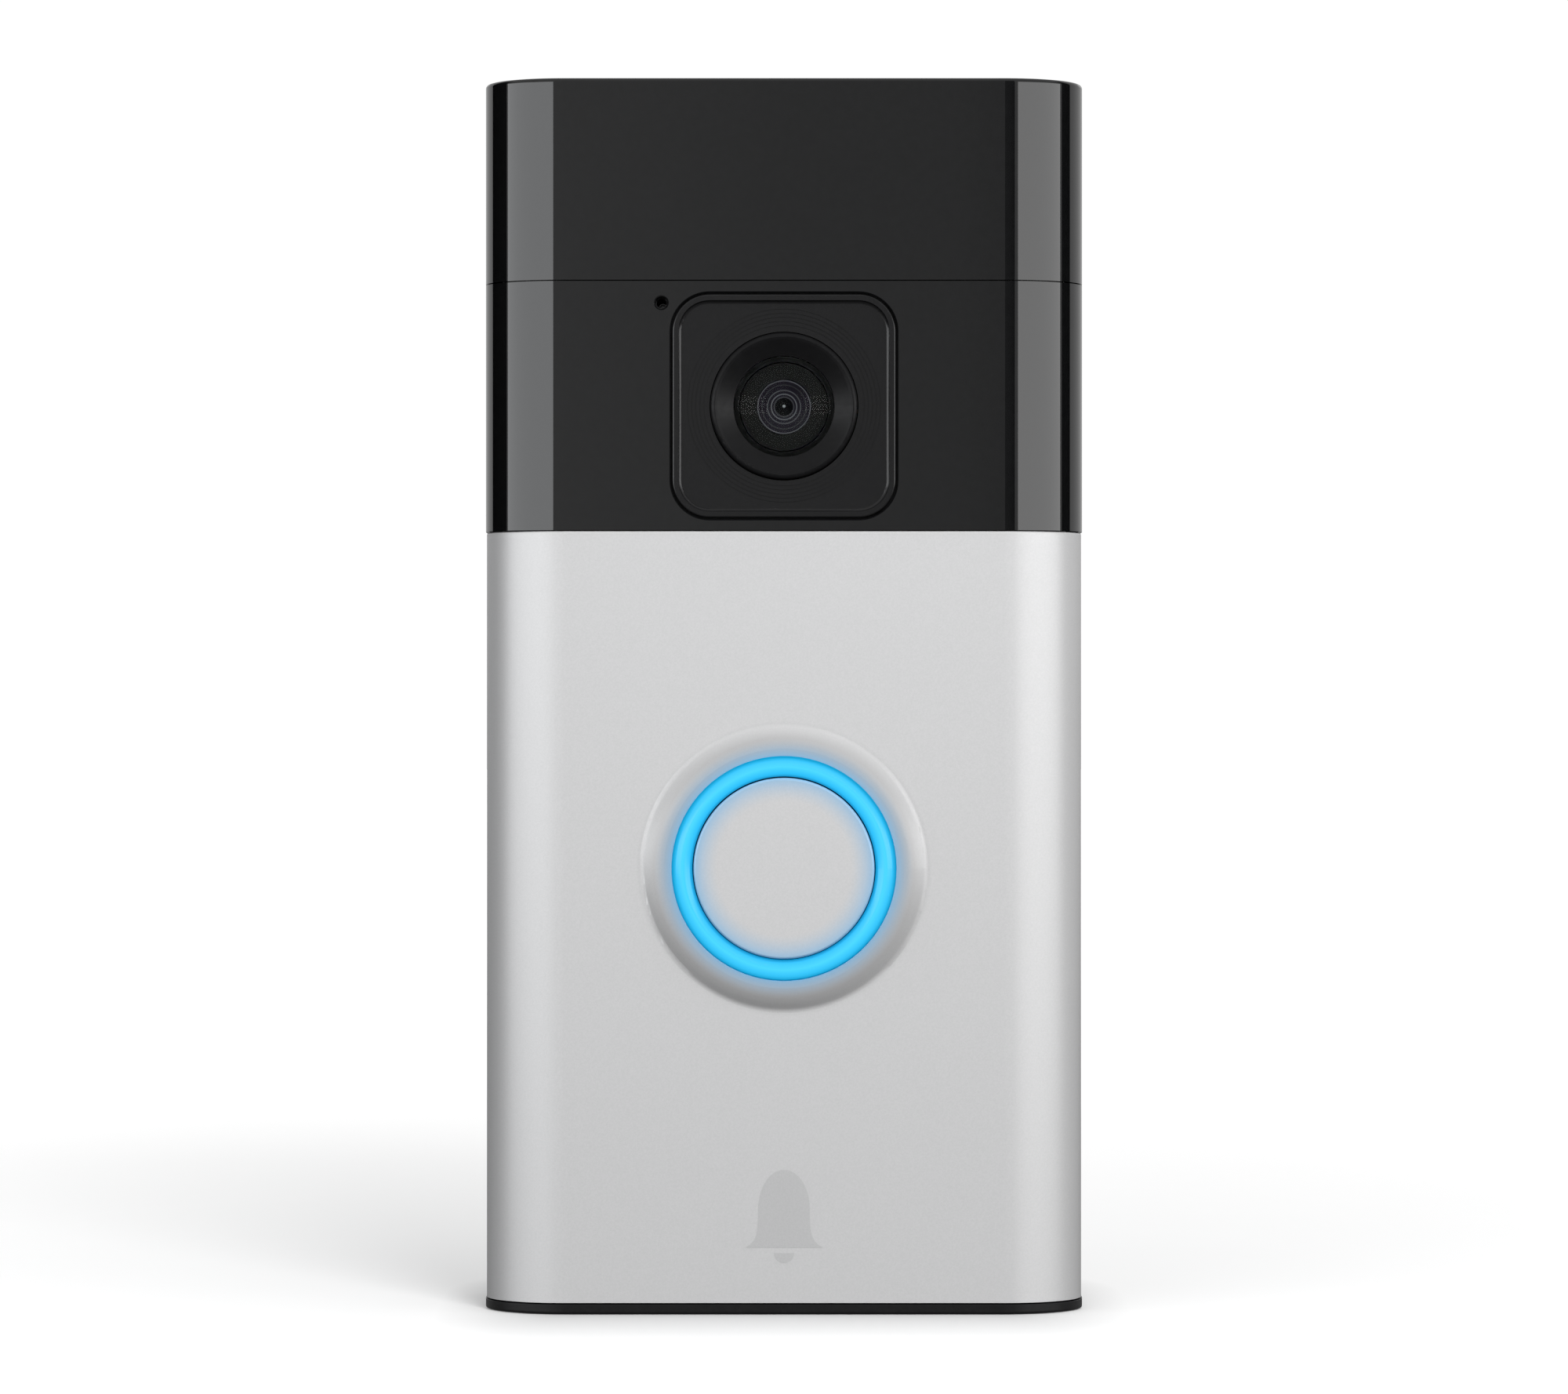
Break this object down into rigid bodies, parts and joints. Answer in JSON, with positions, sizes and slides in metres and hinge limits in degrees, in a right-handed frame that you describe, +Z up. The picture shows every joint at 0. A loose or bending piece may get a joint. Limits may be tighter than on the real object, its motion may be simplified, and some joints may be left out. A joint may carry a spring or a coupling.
{
  "type": "video doorbell",
  "caption": "Upright battery video doorbell: silver faceplate with a lit push button, gloss black camera section with a square lens window, and a screw-on wall bracket.",
  "frame": {"origin": "under the middle of the object, on the plane that it stands on", "axes": "+Z up, -Y out of the front towards a visitor, +Y into the wall, +X to the right of someone looking at the front"},
  "size_m": [0.062, 0.028, 0.127],
  "materials": {
    "satin_nickel": "satin silver coat with a fine grain",
    "gloss_black": "polished black, infrared-clear",
    "bezel_black": "semi-gloss black",
    "lens_black": "black anodised look, fine turning marks",
    "window_glass": "clear coated glass",
    "lens_coating": "violet anti-reflection coating",
    "spacer_metal": "dark anodised",
    "housing_black": "fine-grained moulded black",
    "bracket_black": "moulded dark grey",
    "ring_blue": "lit translucent blue",
    "button_silver": "satin silver paint on plastic",
    "seal_rubber": "matt silicone",
    "gasket_grey": "grey silicone",
    "board_green": "green solder mask",
    "tin_plate": "folded tin plate",
    "screw_steel": "zinc-plated steel",
    "spring_steel": "polished strip steel",
    "chip_black": "black mould compound",
    "sensor_glass": "dark sensor cover glass",
    "lamp_resin": "clear tinted resin",
    "motion_lens_white": "milky polyethylene",
    "ring_lamp_white": "white lamp package",
    "flex_amber": "polyimide film",
    "aerial_copper": "copper foil on film",
    "lead_black": "black insulation",
    "lead_red": "red insulation",
    "battery_foil": "laminate pouch",
    "plug_white": "natural nylon",
    "speaker_black": "moulded basket",
    "cone_grey": "thin polymer film",
    "magnet_nickel": "nickel-plated",
    "mesh_black": "woven dust mesh",
    "port_steel": "deep-drawn steel",
    "setup_orange": "moulded orange",
    "plunger_grey": "moulded grey",
    "terminal_brass": "nickel-free brass",
    "latch_grey": "acetal"
  },
  "bodies": {
    "bracket": {"mounting_bracket": "bracket_black"},
    "doorbell": {"aerial": "aerial_copper", "aerial_lead": "lead_black", "battery_lead": "lead_red", "battery_pack": "battery_foil", "board_plugs": "plug_white", "board_screws": "screw_steel", "button_switch": "chip_black", "camera_bezel": "bezel_black", "camera_board": "board_green", "camera_cover": "gloss_black", "camera_flex": "flex_amber", "charging_port": "port_steel", "faceplate": "satin_nickel", "front_frame": "housing_black", "front_lens": "lens_coating", "housing_screws": "screw_steel", "image_sensor": "sensor_glass", "infrared_lamps": "lamp_resin", "inner_lens": "lens_coating", "lens_barrel": "lens_black", "lens_holder": "lens_black", "lens_ring": "lens_black", "lens_spacer": "spacer_metal", "lens_window": "window_glass", "light_ring": "ring_blue", "main_board": "board_green", "microphone": "port_steel", "microphone_boot": "seal_rubber", "motion_lens": "motion_lens_white", "motion_sensors": "tin_plate", "perimeter_seal": "seal_rubber", "port_seal": "gasket_grey", "power_board": "board_green", "power_flex": "flex_amber", "processor_shield": "tin_plate", "radio_shield": "tin_plate", "rear_housing": "housing_black", "ring_gasket": "gasket_grey", "ring_lamps": "ring_lamp_white", "sensor_board": "board_green", "sensor_flex": "flex_amber", "setup_switch": "chip_black", "speaker_cone": "cone_grey", "speaker_frame": "speaker_black", "speaker_gasket": "gasket_grey", "speaker_lead": "lead_black", "speaker_magnet": "magnet_nickel", "speaker_mesh": "mesh_black", "terminal_nuts": "terminal_brass", "terminal_plates": "terminal_brass", "terminal_screws": "screw_steel", "top_cover": "gloss_black"},
    "button": {"button_cap": "button_silver", "button_seal": "seal_rubber"},
    "button_plunger": {"button_plunger": "plunger_grey"},
    "setup_button": {"setup_button": "setup_orange"},
    "setup_plunger": {"setup_plunger": "plunger_grey"},
    "latch": {"release_latch": "latch_grey", "latch_spring": "spring_steel"}
  },
  "joints": [
    {"name": "bracket_tilt", "type": "hinge", "parent": "bracket", "child": "doorbell", "pos_m": [0, 0.008, 0.115], "axis": [-1, 0, 0], "range_deg": [0, 6]},
    {"name": "button_press", "type": "slide", "parent": "doorbell", "child": "button", "axis": [0, 1, 0], "range_m": [0, 0.0005], "stiffness_N_per_m": 3000},
    {"name": "plunger_press", "type": "slide", "parent": "doorbell", "child": "button_plunger", "axis": [0, 1, 0], "range_m": [0, 0.0005]},
    {"name": "setup_press", "type": "slide", "parent": "doorbell", "child": "setup_button", "axis": [0, -1, 0], "range_m": [0, 0.0005], "stiffness_N_per_m": 2500},
    {"name": "setup_plunger_press", "type": "slide", "parent": "doorbell", "child": "setup_plunger", "axis": [0, -1, 0], "range_m": [0, 0.0005]},
    {"name": "latch_slide", "type": "slide", "parent": "doorbell", "child": "latch", "axis": [0, 0, 1], "range_m": [-0.002, 0], "deforming": ["latch_spring"]}
  ],
  "couplings": [
    {"joint": "plunger_press", "follows": "button_press", "ratio": 1},
    {"joint": "setup_plunger_press", "follows": "setup_press", "ratio": 1}
  ]
}
